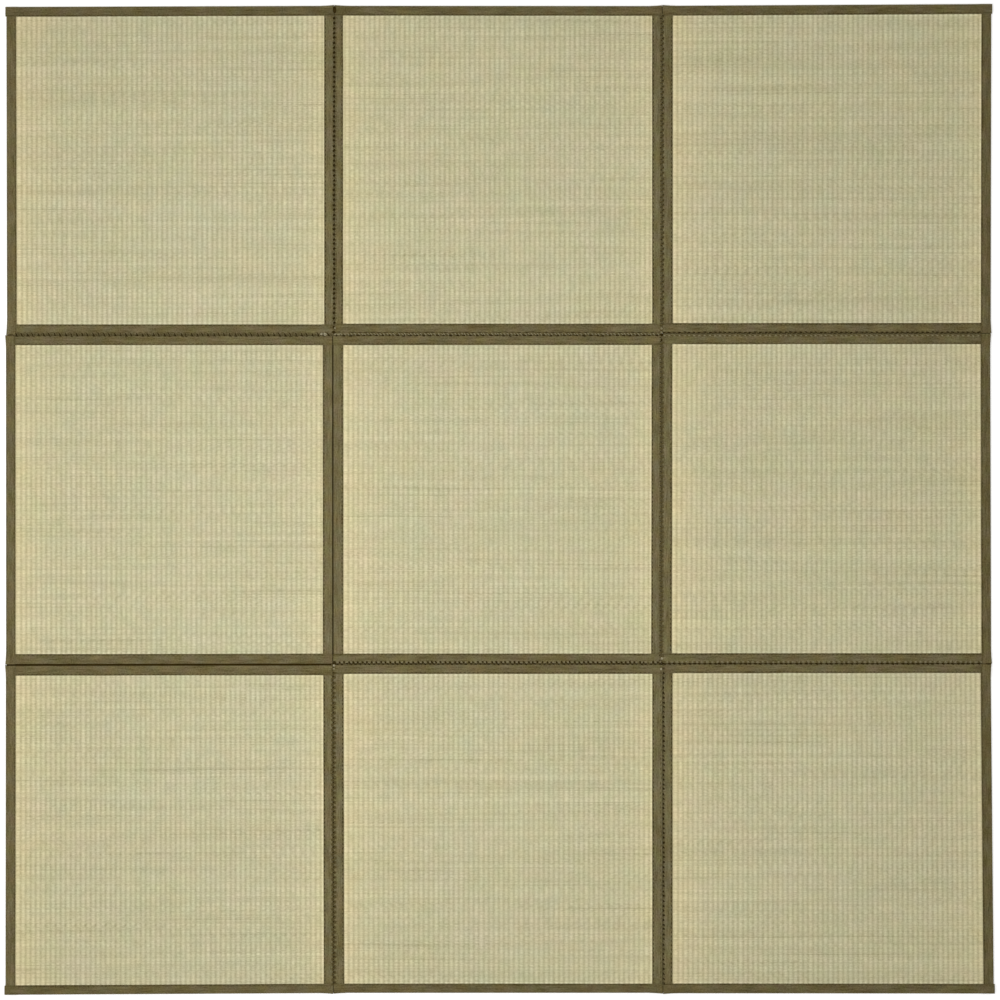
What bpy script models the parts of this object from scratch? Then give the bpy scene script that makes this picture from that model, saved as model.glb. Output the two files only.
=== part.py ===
"""Folding tatami mat: nine square rush panels bound in olive cloth tape, lying flat.

Metres, +Z up. +X runs to the mat's right and +Y to its far side, and the origin is on the
floor under the middle of the mat. Row 1 is the far row and column 1 the left column.
Each panel is one flat rush board and four strips of tape, each folded round one edge.
"""

import math

import bmesh
import bpy
from mathutils import Vector

MM = 0.001

# The grid that the panels lie on, with its lines along the seams
ROWS = 3
COLUMNS = 3
CELL_WIDTH = 0.6000
CELL_DEPTH = 0.6015

# Heights through the mat
CLEARANCE = 0.0003
TAPE_THICKNESS = 0.0010
BOARD_THICKNESS = 0.0054
SKIN = TAPE_THICKNESS + CLEARANCE
MAT_THICKNESS = BOARD_THICKNESS + 2 * SKIN

# The tape's folded edge
FOLD_RADIUS = 0.0022
FOLD_STEPS = 3
BOARD_CHAMFER = 0.0011

# The tape's corners: one strip runs over the end of the other
MITRE_GAP = 0.00022
TUCKED_BACK = FOLD_RADIUS + CLEARANCE
LAP_LIFT = TAPE_THICKNESS + CLEARANCE
LAP_MARGIN = 0.0015
LAP_RAMP = 0.0050
CORNER_OVERHANG = 0.0014
SEAM_END_FLARE = 0.0012

# How far each end of each side stands outside its cell (+) or inside it (-), in millimetres.
# The panels were sewn together by eye, so the seams jog, and the near right corner splays.
SIDE_ENDS = (
    "left_far", "left_near", "right_far", "right_near",
    "far_left", "far_right", "near_left", "near_right",
)
OFF_GRID_MM = {
    (1, 1): (-0.4, -1.6, -0.7, -0.7, -1.6, 0.4, -0.5, -0.5),
    (1, 2): (-0.4, -0.4, -1.5, -1.5, 0.4, 0.0, -1.3, -1.3),
    (1, 3): (0.4, 0.4, 0.7, -0.5, 0.5, 3.8, -3.5, -3.8),
    (2, 1): (0.4, 0.1, -3.6, -3.4, -0.5, -0.5, 0.0, -0.9),
    (2, 2): (2.3, 2.0, -2.2, -3.2, 0.1, 0.3, -1.1, -1.1),
    (2, 3): (1.1, 2.1, -1.3, 0.4, 2.6, 2.7, -1.5, -1.5),
    (3, 1): (0.5, 1.3, -3.4, -2.3, -2.7, -1.8, 2.7, -0.5),
    (3, 2): (2.5, 1.2, -0.2, -0.2, 0.0, 0.2, -0.9, -0.9),
    (3, 3): (-0.9, -0.9, -0.5, 5.3, 0.4, 0.7, -0.2, 0.4),
}

# How wide each strip of tape shows on top, in millimetres
SIDES = ("left", "right", "far", "near")
TAPE_FACE_MM = {
    (1, 1): (18.0, 18.0, 18.2, 19.0),
    (1, 2): (15.6, 18.0, 18.0, 19.6),
    (1, 3): (18.6, 18.3, 18.3, 18.4),
    (2, 1): (17.7, 17.9, 17.9, 18.6),
    (2, 2): (18.4, 18.1, 18.4, 18.4),
    (2, 3): (18.6, 17.9, 19.2, 18.6),
    (3, 1): (18.3, 17.2, 18.1, 17.4),
    (3, 2): (19.2, 19.0, 17.7, 17.0),
    (3, 3): (17.0, 18.8, 16.6, 17.9),
}

# Which sides a strip meets at its start and at its end, and the way it runs
NEIGHBOURS = {
    "left": ("near", "far"),
    "right": ("near", "far"),
    "far": ("left", "right"),
    "near": ("left", "right"),
}

RUSH_COLOUR = (0.51, 0.47, 0.29, 1.0)
RUSH_ROUGHNESS = 0.62
TAPE_COLOUR = (0.125, 0.105, 0.050, 1.0)
TAPE_ROUGHNESS = 0.85


def clear_scene():
    for thing in list(bpy.data.objects):
        bpy.data.objects.remove(thing)


def material(name, colour, roughness):
    made = bpy.data.materials.new(name)
    made.use_nodes = True
    surface = made.node_tree.nodes["Principled BSDF"]
    surface.inputs["Base Color"].default_value = colour
    surface.inputs["Roughness"].default_value = roughness
    surface.inputs["Metallic"].default_value = 0.0
    return made


def panel_name(row, column):
    return f"r{row}c{column}"


def tape_faces(panel):
    """The width of tape that shows along each side of a panel."""
    return {side: face * MM for side, face in zip(SIDES, TAPE_FACE_MM[panel])}


def panel_corners(panel):
    """The panel's four outer corners on the mat, by how far right and how far back they are."""
    row, column = panel
    out = {end: offset * MM for end, offset in zip(SIDE_ENDS, OFF_GRID_MM[panel])}
    left = (column - 1 - COLUMNS / 2) * CELL_WIDTH
    right = left + CELL_WIDTH
    far = (ROWS / 2 - (row - 1)) * CELL_DEPTH
    near = far - CELL_DEPTH
    return {
        (0, 0): Vector((left - out["left_near"], near - out["near_left"])),
        (1, 0): Vector((right + out["right_near"], near - out["near_right"])),
        (0, 1): Vector((left - out["left_far"], far + out["far_left"])),
        (1, 1): Vector((right + out["right_far"], far + out["far_right"])),
    }


def on_mat(panel, across, back, height):
    """Moves a point from a square cell to the panel's true place, a little out of square."""
    corner = panel_corners(panel)
    a = across / CELL_WIDTH
    b = back / CELL_DEPTH
    near = corner[0, 0].lerp(corner[1, 0], a)
    far = corner[0, 1].lerp(corner[1, 1], a)
    place = near.lerp(far, b)
    return Vector((place.x, place.y, height))


def on_side(side, along, inward):
    """A point at a distance along a side of the cell and inward from it."""
    return {
        "left": (inward, along),
        "right": (CELL_WIDTH - inward, along),
        "far": (along, CELL_DEPTH - inward),
        "near": (along, inward),
    }[side]


def is_outer(panel, side):
    """Whether a side of the panel is on the mat's own edge, not on a seam."""
    row, column = panel
    return {
        "left": column == 1,
        "right": column == COLUMNS,
        "far": row == 1,
        "near": row == ROWS,
    }[side]


def lies_over(panel, side, neighbour):
    """Whether the strip along a side runs over its neighbour's end at their corner.

    Strips that run across the mat lie over those that run back, but the ones along the
    mat's left and right edges cover the ends of the strips at the seams inside the mat.
    """
    crossways = side in ("far", "near")
    runs_across, runs_back = (side, neighbour) if crossways else (neighbour, side)
    across_is_over = is_outer(panel, runs_across) or not is_outer(panel, runs_back)
    return across_is_over if crossways else not across_is_over


def fold(radius, centre_height, start_degrees):
    """Points between the ends of a quarter turn round the tape's folded edge."""
    points = []
    for step in range(1, FOLD_STEPS):
        turn = math.radians(start_degrees + 90 * step / FOLD_STEPS)
        inward = FOLD_RADIUS + radius * math.cos(turn)
        points.append((inward, centre_height - radius * math.sin(turn)))
    return points


def tape_surface(face, depth):
    """One surface of the tape, at a depth in from its outside: under, round and over."""
    radius = FOLD_RADIUS - depth
    top = MAT_THICKNESS - depth
    low_fold = FOLD_RADIUS
    high_fold = MAT_THICKNESS - FOLD_RADIUS
    points = [(face, depth), (FOLD_RADIUS, depth)]
    points += fold(radius, low_fold, 90)
    points += [(depth, low_fold), (depth, high_fold)]
    points += fold(radius, high_fold, 180)
    return points + [(FOLD_RADIUS, top), (face, top)]


def tape_profile(face):
    """The tape's section, out along its outside and back along its inside."""
    return tape_surface(face, 0.0) + tape_surface(face, TAPE_THICKNESS)[::-1]


def end_offset(point, over, overhang):
    """How far back from the panel's corner the tape is cut, at one point of its section."""
    inward, height = point
    if height <= MAT_THICKNESS - FOLD_RADIUS:
        return inward + MITRE_GAP
    return -overhang if over else TUCKED_BACK


def end_stations(panel, side, neighbour):
    """The strip's sections near one end, outermost first.

    Each is how far it is from the corner, or None at the cut end, how far the top of the
    tape is lifted there, and how far its folded edge is pushed outwards.
    """
    if not lies_over(panel, side, neighbour):
        return [(None, 0.0, 0.0)]
    at_seam_end = is_outer(panel, side) and not is_outer(panel, neighbour)
    flare = SEAM_END_FLARE if at_seam_end else 0.0
    faces = tape_faces(panel)
    lap_end = max(faces[side], faces[neighbour]) + LAP_MARGIN
    return [
        (None, LAP_LIFT, flare),
        (lap_end, LAP_LIFT, flare / 2),
        (lap_end + LAP_RAMP, 0.0, 0.0),
    ]


def end_section(panel, side, neighbour, station, profile):
    """The points of one section, as distance from the corner, inward and height."""
    distance, lift, flare = station
    over = lies_over(panel, side, neighbour)
    at_mat_corner = is_outer(panel, side) and is_outer(panel, neighbour)
    overhang = CORNER_OVERHANG if at_mat_corner else 0.0
    section = []
    for point in profile:
        inward, height = point
        back = end_offset(point, over, overhang) if distance is None else distance
        lifted = height + lift if height > MAT_THICKNESS / 2 else height
        pushed = inward - flare if inward < FOLD_RADIUS else inward
        section.append((back, pushed, lifted))
    return section


def cap(mesh, ring):
    """Closes an end with a strip of faces between its first points and its last ones."""
    for i in range(len(ring) // 2 - 1):
        mesh.faces.new((ring[i], ring[i + 1], ring[-2 - i], ring[-1 - i]))


def skin_sections(name, sections):
    """A closed mesh through sections that have the same number of points."""
    mesh = bmesh.new()
    rings = [[mesh.verts.new(point) for point in section] for section in sections]
    for first, second in zip(rings, rings[1:]):
        for i, corner in enumerate(first):
            j = (i + 1) % len(first)
            mesh.faces.new((corner, first[j], second[j], second[i]))
    cap(mesh, rings[0])
    cap(mesh, rings[-1])
    bmesh.ops.triangulate(mesh, faces=mesh.faces[:])
    return object_of(name, mesh)


def object_of(name, mesh):
    bmesh.ops.recalc_face_normals(mesh, faces=mesh.faces[:])
    data = bpy.data.meshes.new(name)
    mesh.to_mesh(data)
    mesh.free()
    made = bpy.data.objects.new(name, data)
    bpy.context.scene.collection.objects.link(made)
    return made


def tape_strip(panel, side):
    """One strip of cloth tape, folded round one edge of a panel."""
    profile = tape_profile(tape_faces(panel)[side])
    length = CELL_DEPTH if side in ("left", "right") else CELL_WIDTH
    start, end = NEIGHBOURS[side]
    sections = []
    for station in end_stations(panel, side, start):
        sections.append(end_section(panel, side, start, station, profile))
    for station in reversed(end_stations(panel, side, end)):
        section = end_section(panel, side, end, station, profile)
        sections.append([(length - back, inward, height) for back, inward, height in section])
    placed = [
        [on_mat(panel, *on_side(side, along, inward), height) for along, inward, height in section]
        for section in sections
    ]
    return skin_sections(f"binding_{panel_name(*panel)}_{side}", placed)


def rush_board(panel):
    """The flat woven rush panel, whose edges are inside the tape."""
    low = SKIN
    high = SKIN + BOARD_THICKNESS
    layers = [
        (SKIN + BOARD_CHAMFER, low),
        (SKIN, low + BOARD_CHAMFER),
        (SKIN, high - BOARD_CHAMFER),
        (SKIN + BOARD_CHAMFER, high),
    ]
    rings = []
    for inset, height in layers:
        ring = [
            (inset, inset),
            (CELL_WIDTH - inset, inset),
            (CELL_WIDTH - inset, CELL_DEPTH - inset),
            (inset, CELL_DEPTH - inset),
        ]
        rings.append([on_mat(panel, across, back, height) for across, back in ring])
    return skin_sections(f"rush_{panel_name(*panel)}", rings)


def centre_on_floor(made):
    """Puts the middle of the mat's bounding box over the origin."""
    points = [vertex.co for thing in made for vertex in thing.data.vertices]
    low = Vector([min(point[axis] for point in points) for axis in range(3)])
    high = Vector([max(point[axis] for point in points) for axis in range(3)])
    middle = (low + high) / 2
    shift = Vector((-middle.x, -middle.y, -low.z))
    for thing in made:
        for vertex in thing.data.vertices:
            vertex.co += shift


def main():
    clear_scene()
    rush = material("rush", RUSH_COLOUR, RUSH_ROUGHNESS)
    tape = material("binding", TAPE_COLOUR, TAPE_ROUGHNESS)
    made = []
    for row in range(1, ROWS + 1):
        for column in range(1, COLUMNS + 1):
            panel = (row, column)
            board = rush_board(panel)
            board.data.materials.append(rush)
            made.append(board)
            for side in SIDES:
                strip = tape_strip(panel, side)
                strip.data.materials.append(tape)
                made.append(strip)
    centre_on_floor(made)


main()
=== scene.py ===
"""How the folding tatami mat looks: woven rush, cloth tape, sewing, light and camera.

Metres, +Z up. The mat lies on the floor, its far row of panels at the top of the picture.
A panel's own places are measured across from its left edge and back from its near edge.
"""

import math

import bmesh
import bpy
import numpy as np
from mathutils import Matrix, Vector


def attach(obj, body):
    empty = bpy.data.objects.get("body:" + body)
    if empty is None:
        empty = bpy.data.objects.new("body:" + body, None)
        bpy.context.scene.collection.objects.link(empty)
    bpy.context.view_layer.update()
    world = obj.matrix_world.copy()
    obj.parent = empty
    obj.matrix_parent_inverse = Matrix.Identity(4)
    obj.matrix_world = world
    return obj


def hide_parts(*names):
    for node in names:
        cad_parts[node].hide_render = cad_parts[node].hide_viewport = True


MM = 0.001
ROWS = 3
COLUMNS = 3
SIDES = ("left", "right", "far", "near")
ROUNDING_ERROR = 1e-6
MIX_COLOUR_A = 6
MIX_COLOUR_B = 7
MIX_COLOUR_RESULT = 2

# The photograph's frame: its scale, and the place on the mat that its middle shows
METRES_PER_PIXEL = 0.0018278
PICTURE_PIXELS = 1000
PICTURE_MIDDLE = (0.0006, -0.0011)
CAMERA_LENS_MM = 100.0
CAMERA_SENSOR_MM = 36.0
SHARP_HEIGHT = 0.006

# The rush weave
RUSH_PITCH = 9.15 * MM
RUSH_WIDTH = 1.6 * MM
POINTS_A_RIDGE = 4
ROW_STEP = 6.5 * MM
RIDGE_CREST = 0.18 * MM
VALLEY_DEPTH = 0.70 * MM
RIDGE_FULLNESS = 0.75
UNEVEN_DEPTH = 0.16 * MM
UNEVEN_LENGTH = 13.0 * MM
BOARD_CHAMFER = 1.1 * MM
UNDER_TAPE = 4.0 * MM
UNDERSIDE_EVERY = 12
UNDER_SKIN = 0.2 * MM
PANEL_SHIFT = 1.7

# The tape
CLOTH_THICKNESS = 1.0 * MM
FOLD_RADIUS = 2.2 * MM
FOLD_STEPS = 5
STITCH_INSET = 2.2 * MM
STITCH_DIP = 0.40 * MM
STITCH_DIP_WIDTH = 1.0 * MM
EDGE_ROUNDING = 0.45 * MM
TAPE_CROWN = 0.22 * MM
TAPE_CROWN_AT = (0.15, 0.38, 0.62, 0.85)
TAPE_STEP = 10.0 * MM
PUCKER_HEIGHT = 0.14 * MM
PUCKER_LENGTH = 24.0 * MM
WOBBLE = 0.12 * MM
WOBBLE_LENGTH = 60.0 * MM
MITRE_GAP = 0.22 * MM
TUCKED_BACK = 2.5 * MM
LAP_LIFT = 1.3 * MM
LAP_MARGIN = 1.5 * MM
LAP_RAMP = 5.0 * MM
CORNER_OVERHANG = 1.4 * MM
SEAM_END_FLARE = 1.2 * MM
# Share of the way to the lap's end, and shares of the lift and of the flare
LAP_SHAPE = ((0.0, 0.85, 1.0), (0.06, 1.0, 1.0), (0.4, 1.0, 0.5), (0.75, 1.0, 0.15), (1.0, 0.93, 0.0))
LAP_RAMP_SHAPE = ((0.3, 0.70), (0.7, 0.22), (1.0, 0.0))

# Where two strips meet: how far they press together, the heights where they part, and how
# much of the slits' painted shade shows in a sewn seam and on the mat's outer edges
OVERLAP = 0.05 * MM
SEAM_PARTS = (5.2 * MM, 7.4 * MM)
SLIT_PARTS = (2.2 * MM, 3.4 * MM)
SEAM_SHADE = 0.3
OPEN_SEAMS = ("v1r2", "h2c1")

# Where each kind of random draw starts
EDGE_SEED = 500
BACK_SEAM_SEED = 700
ACROSS_SEAM_SEED = 800
KNOT_SEED = 900
RIDGE_SEED = 50

# Sewing
STITCH_PITCH = 8.0 * MM
STITCH_LENGTH = 4.2 * MM
EDGE_STITCH_SHAPE = np.array([-1.0, -0.6, 0.0, 0.6, 1.0])
EDGE_STITCH_SINK = np.array([-0.35, 0.0, 0.08, 0.0, -0.35]) * MM
EDGE_STITCH_RISE = 0.2 * MM
EDGE_STITCH_START = 0.3
EDGE_STITCH_STRAY = 0.25 * MM
EDGE_STITCH_DRIFT = 0.08 * MM
EDGE_STITCH_LENGTHS = (0.85, 1.1)
EDGE_THREAD_FLATNESS = 0.5
THREAD_SIDES = 4
THREAD_RADIUS = 0.85 * MM
STRAND_RADIUS = 0.60 * MM
STRAND_THICKNESSES = (0.9, 1.15)
STRAND_SPACING = 0.55 * MM
EDGE_THREAD_SHARES = {"left": 0.28, "outer": 0.26, "back": 0.75, "across": 0.45}
STITCH_TAPER = np.array([0.5, 0.95, 1.0, 0.95, 0.5])
STITCH_SHARES = np.array([0.0, 0.12, 0.5, 0.88, 1.0])
STITCH_ARCH = np.array([-0.8, 0.0, 0.15, 0.0, -0.8]) * MM
STITCH_SCATTER = 0.4 * MM
STITCH_START = 0.25
PITCH_SCATTER = 0.07
SEAM_SAG = 0.6 * MM
SEAM_SAG_WIDTH = 1.5 * MM
SEWN_FROM_CROSSING = 1.0 * MM
SEAM_LAP_REACH = 19.0 * MM
SEWN_FROM_MAT_EDGE = 16.0 * MM
KNOT_THREAD_RADIUS = 0.65 * MM
KNOT_THREAD_SIDES = 6
KNOT_TURNS = 2.2
KNOT_POINTS = 22
KNOT_WAVE = (0.75, 0.25, 1.7)
KNOT_SIZES = (0.8, 1.0)
KNOT_LIFT = (0.15 * MM, 0.25 * MM, 1.3)
KNOT_END_SINK = 0.8 * MM
END_THREAD_SINK = 0.2 * MM
# For each seam its pitch, then its stitches: how far along a pitch they start; the place along
# and across the seam where they begin; the place where they end; half width; thread
SEAM_STITCHES_MM = {
    "v1r1": (
        9.0,
        (0.0, -0.8, -2.8, 0.8, 1.6, 2.0, "dark"), (0.5, -1.0, -3.6, 1.0, 4.0, 1.4, "olive"),
        (0.0, -1.6, 2.6, 1.6, 3.4, 1.0, "brown"),
    ),
    "v1r3": (
        9.1,
        (0.0, -1.8, -4.2, 1.8, 6.6, 1.5, "brown"), (0.5, 1.8, -4.2, -1.8, 6.6, 1.1, "brown"),
        (0.25, -0.8, -0.8, 0.6, 2.8, 0.9, "dark"), (0.7, -0.8, -3.0, 0.6, -0.4, 1.0, "brown"),
    ),
    "v2r1": (
        9.8,
        (0.2, -1.6, -4.4, 1.6, 4.2, 1.4, "brown"), (0.7, 1.6, -4.4, -1.6, 4.2, 1.4, "olive"),
        (0.0, -0.6, -3.4, 0.6, -1.4, 0.9, "dark"), (0.5, -0.6, 0.8, 0.6, 3.0, 0.9, "dark"),
        (0.45, -1.2, -3.6, 1.2, -2.0, 0.8, "brown"),
    ),
    "v2r2": (
        9.1,
        (0.0, -1.6, -5.0, 1.2, 4.8, 1.4, "brown"), (0.5, 1.2, -5.0, -1.6, 4.8, 1.8, "olive"),
        (0.3, -0.5, -3.6, 0.5, -2.0, 0.9, "dark"), (0.8, -1.2, -0.6, 1.2, 2.0, 0.9, "brown"),
    ),
    "v2r3": (
        8.8,
        (0.0, -0.6, 0.2, 0.6, 3.0, 1.9, "dark"), (0.5, -1.2, -1.8, 1.2, 3.4, 1.4, "olive"),
        (0.3, -2.6, -4.0, 2.6, -3.6, 0.8, "brown"),
    ),
    "h1c1": (
        10.0,
        (0.0, -1.6, -4.2, 1.6, 1.8, 0.9, "dark"), (0.45, -1.6, -4.2, 1.6, 1.8, 0.8, "brown"),
        (0.25, -1.4, -3.8, 1.4, 2.6, 1.0, "olive"), (0.7, -1.4, -3.8, 1.4, 2.6, 1.0, "olive"),
        (0.1, -3.4, 1.8, 3.4, 2.4, 0.8, "dark"), (0.6, -3.0, -4.6, 3.0, -4.2, 0.8, "brown"),
    ),
    "h1c2": (
        12.3,
        (0.5, -4.4, -4.2, 4.4, -3.9, 0.8, "dark"), (0.0, -3.4, -4.2, 3.4, -4.0, 0.7, "brown"),
        (0.1, -3.4, 1.6, 3.4, 2.0, 1.0, "dark"), (0.6, -2.8, 1.6, 2.8, 2.0, 0.9, "brown"),
        (0.3, -2.2, -3.0, 2.0, 0.9, 0.9, "pale"), (0.8, -2.2, -3.0, 2.0, 0.9, 0.9, "pale"),
        (0.05, -2.0, -2.6, 2.0, 0.7, 0.9, "brown"), (0.55, -2.0, -2.6, 2.0, 0.7, 0.9, "olive"),
    ),
    "h1c3": (
        9.2,
        (0.0, -3.0, -2.4, 3.0, -1.8, 1.1, "dark"), (0.5, -2.2, -2.0, 2.2, -1.4, 1.0, "brown"),
        (0.2, -1.0, -0.8, 1.2, 1.8, 1.6, "olive"), (0.5, -1.8, 3.4, 1.8, 5.0, 1.0, "brown"),
        (0.0, -1.8, 3.8, 1.8, 4.2, 1.0, "pale"),
    ),
    "h2c2": (
        8.4,
        (0.5, -0.6, -4.6, 0.8, -1.4, 1.3, "pale"), (0.0, -0.8, -5.2, 0.8, -1.2, 1.5, "dark"),
        (0.5, -2.2, -0.2, 2.2, 0.6, 1.3, "dark"), (0.0, -2.2, 0.0, 2.2, 0.4, 1.0, "brown"),
    ),
    "h2c3": (
        9.2,
        (0.5, -1.6, -4.4, 1.6, -2.4, 1.3, "pale"), (0.0, -2.6, -0.6, 2.6, 0.7, 1.5, "dark"),
        (0.0, -1.2, -4.6, 1.2, -1.8, 1.0, "brown"),
    ),
}
# Each knot's place, its size along x and along y, and its thread
KNOTS_MM = (
    (-325.5, 302.3, 5.0, 4.5, "knot"), (-319.0, 301.6, 6.0, 4.5, "knot"),
    (-301.0, 313.1, 3.0, 3.0, "pale"), (-300.5, 301.5, 4.0, 3.0, "pale"),
    (-293.5, 301.5, 4.0, 2.5, "pale"), (-303.0, 305.5, 6.0, 4.5, "dark"),
    (-303.0, 315.0, 3.5, 4.5, "dark"), (295.6, 312.2, 4.0, 3.5, "pale"),
    (295.6, 305.2, 4.0, 3.0, "pale"), (296.1, 300.5, 6.0, 5.0, "dark"),
    (295.6, 291.0, 3.5, 4.5, "dark"), (-302.7, -303.3, 5.0, 3.5, "knot"),
    (-302.7, -309.3, 4.0, 3.0, "pale"), (-302.1, -298.2, 9.0, 5.5, "dark"),
    (296.4, -290.4, 4.0, 4.5, "knot"), (294.9, -309.8, 4.0, 4.0, "knot"),
    (295.8, -299.5, 7.0, 4.5, "dark"),
)
# Threads laid along a seam's end between the outer strips, which also stand in for painted shade in
# the groove there: the two ends of each, and its thread
END_THREADS_MM = (
    (-899.5, 299.8, -887.5, 300.3, 1.0, "dark"),
    (-898.0, 302.0, -888.5, 302.0, 0.7, "brown"),
    (887.0, -300.4, 898.5, -300.4, 1.3, "dark"),
    (-302.6, 900.5, -302.6, 889.0, 2.3, "dark"),
    (-300.8, 899.5, -300.8, 888.5, 2.3, "dark"),
    (296.0, 900.5, 296.0, 889.0, 0.8, "brown"),
    (296.5, -888.0, 298.0, -899.0, 1.0, "brown"),
)

# Colours from 0 to 255 as the screen shows them: the dark and the light end of each cloth
RUSH_COLOURS = ((150, 143, 105), (230, 223, 185))
TAPE_COLOURS = {
    "left": ((74, 64, 31), (134, 124, 90)),
    "outer": ((68, 58, 26), (128, 118, 84)),
    "back": ((76, 66, 33), (138, 129, 95)),
    "across": ((70, 60, 27), (132, 122, 88)),
}
# The edge thread's dark colour also stands in for the painted shade of the needle holes it sinks into
EDGE_THREAD_HOLE_SHADE_COLOURS = ((42, 32, 9), (62, 51, 22))
SEAM_THREAD_COLOURS = {
    "dark": ((40, 29, 3), (64, 52, 16)),
    "brown": ((76, 64, 29), (108, 97, 61)),
    "olive": ((86, 76, 43), (118, 108, 75)),
    "pale": ((124, 115, 82), (162, 153, 122)),
    "knot": ((140, 132, 103), (188, 180, 151)),
}
# Tints: what each multiplies a colour by
RUSH_GREEN = (0.95, 1.005, 0.96, 1.0)
RUSH_RED = (1.04, 0.995, 0.98, 1.0)
RUSH_BLUE = (1.0, 1.0, 1.08, 1.0)
RUSH_YELLOW = (1.0, 1.0, 0.92, 1.0)
TAPE_GREEN = (0.96, 1.03, 1.0, 1.0)
TAPE_BROWN = (1.05, 0.975, 0.98, 1.0)
TAPE_DULL = (1.0, 1.0, 1.20, 1.0)
TAPE_YELLOW = (1.0, 1.0, 0.80, 1.0)
WARM_EDGE = (1.19, 1.115, 1.03, 1.0)
PALE_EDGE = (1.17, 1.12, 1.06, 1.0)
# A painted highlight on the rush along its edges next to the tape
PAINTED_RIM_HIGHLIGHT = (1.16, 1.17, 1.22, 1.0)
# Painted shade on the walls of the tape's folds, in seams, slits and on the mat's outer edges
PAINTED_FOLD_SHADE = (0.38, 0.28, 0.06, 1.0)

# Each noise of the cloths: bumps to a unit along its first and its second axis, and its plane
NOISES = {
    "rush_wander": (5.0, 40.0, 0.0), "rush_own": (3.0, 7.77, 0.4),
    "rush_shared": (3.0, 5.31, 21.7), "rush_stray": (3.0, 3.37, 71.3),
    "rush_cell": (3.17, 330.0, 9.1), "rush_valley": (3.0, 6.13, 33.0),
    "rush_column": (5.71, 1.0, 27.0), "rush_streak": (2.23, 38.0, 44.0),
    "rush_swell": (45.0, 60.0, 55.0), "rush_broad": (1.6, 60.0, 4.4),
    "rush_grain": (420.0, 420.0, 15.2), "rush_red": (42.0, 42.0, 2.2),
    "rush_slow_red": (10.5, 10.5, 5.9), "rush_blue": (42.0, 42.0, 31.6),
    "rush_slow_blue": (10.5, 10.5, 36.7), "tape_slub": (40.0, 520.0, 1.3),
    "tape_fleck": (430.0, 430.0, 6.1), "tape_patch": (22.0, 90.0, 3.3),
    "tape_red": (55.0, 55.0, 12.2), "tape_blue": (55.0, 55.0, 48.7),
    "thread_fuzz": (300.0, 3.0, 2.0),
}
NOISE_DETAIL = {
    "rush_broad": 2.0, "tape_slub": 1.0, "tape_fleck": 1.0, "tape_patch": 2.0,
    "thread_fuzz": 2.0,
}
BROAD_ROUGHNESS = 0.6
OWN_PLANE_STEP = 7.3
VALLEY_PLANE_STEP = 3.3
COLUMN_TONE_LINE = 0.3

# How much each part of a cloth adds to its tone, from 0 for its dark colour to 1 for its light one
STRAND_TONES = {"base": 0.0, "own": 0.37, "shared": 0.22, "cell": 0.14}
# The ridge weight darkens the rush in the valleys between ridges: partly its own tone where it dives
# under, partly painted shade
RUSH_TONES = {
    "base": 0.345, "ridge": 0.25, "flat_top": -0.012, "column": 0.09, "strands": 1.0,
    "swell": 0.22, "valley": 0.46, "streak": 0.10, "broad": 0.16, "grain": 0.28, "bead": 0.04,
    "stray": -0.11,
}
STRANDS_SHOW = {"in_valley": 0.25, "on_ridge": 1.1}
# Tapes are darker along their stitch row: painted shade of the groove there
TAPE_TONES = {"base": 0.30, "off_row": 0.20, "check": 0.06, "slub": 0.75, "fleck": 0.95, "patch": 0.60}
THREAD_TONES = {"base": 0.5, "ply": 0.2, "fuzz": 1.3}
RUSH_HUES = {"red": 0.9, "slow_red": 0.8, "blue": 0.6, "slow_blue": 0.55}
TAPE_HUES = {"red": 1.4, "blue": 1.15}

# The cloths' reliefs in shading, their gloss, and where their tones change
SHARED_WIDTH = 1.9 * MM
OWN_WANDER = 2.5
SHARED_WANDER = 2.0
STRAY_RANGE = (0.20, 0.30)
LEFT_GLOW_REACH = 40.0 * MM
RIGHT_GLOW_REACH = 30.0 * MM
# Where the rush's painted highlight along its edges fades out
PAINTED_HIGHLIGHT_RANGE = (1.5 * MM, 4.5 * MM)
BEAD_RELIEF = 0.16 * MM
RIDGE_RELIEF = 0.10 * MM
OWN_RELIEF = 0.16 * MM
RUSH_ROUGHNESS = 0.55
RUSH_SPECULAR = 0.3
THREAD_PITCH = 0.6 * MM
# How far the painted shade of the stitch row reaches on each side of it
BEFORE_ROW = 1.5 * MM
PAST_ROW = 1.7 * MM
# The painted shade on the folds' walls starts at the first of these heights and is full by the second
PAINTED_SHADE_HEIGHTS = (7.8 * MM, 5.8 * MM)
CHECK_RELIEF = 0.05 * MM
SLUB_RELIEF = 0.10 * MM
FLECK_RELIEF = 0.14 * MM
TAPE_ROUGHNESS = 0.9
PLY_PITCH = 1.1 * MM
PLY_RELIEF = 0.06 * MM
THREAD_ROUGHNESS = 0.85
CLOTH_SPECULAR = 0.06

# The setting
FLOOR_SIZE = 60.0
FLOOR_HEIGHT = -0.0003
FLOOR_COLOUR = (0.93, 0.93, 0.925, 1.0)
FLOOR_ROUGHNESS = 0.9
FLOOR_SPECULAR = 0.1
WHITE = (1.0, 1.0, 1.0, 1.0)
SKY_STRENGTH = 0.55
FLOOR_GLOW = 0.45
LAMP_PLACE = (-0.4, -0.1, 2.2)
LAMP_AIM = (-0.4, -0.1, 0.0)
LAMP_SIZE = 1.4
LAMP_WATTS = 27.0


def cad_points(node):
    """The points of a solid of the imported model."""
    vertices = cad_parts[node].data.vertices
    points = np.zeros(len(vertices) * 3)
    vertices.foreach_get("co", points)
    return points.reshape(-1, 3)


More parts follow.
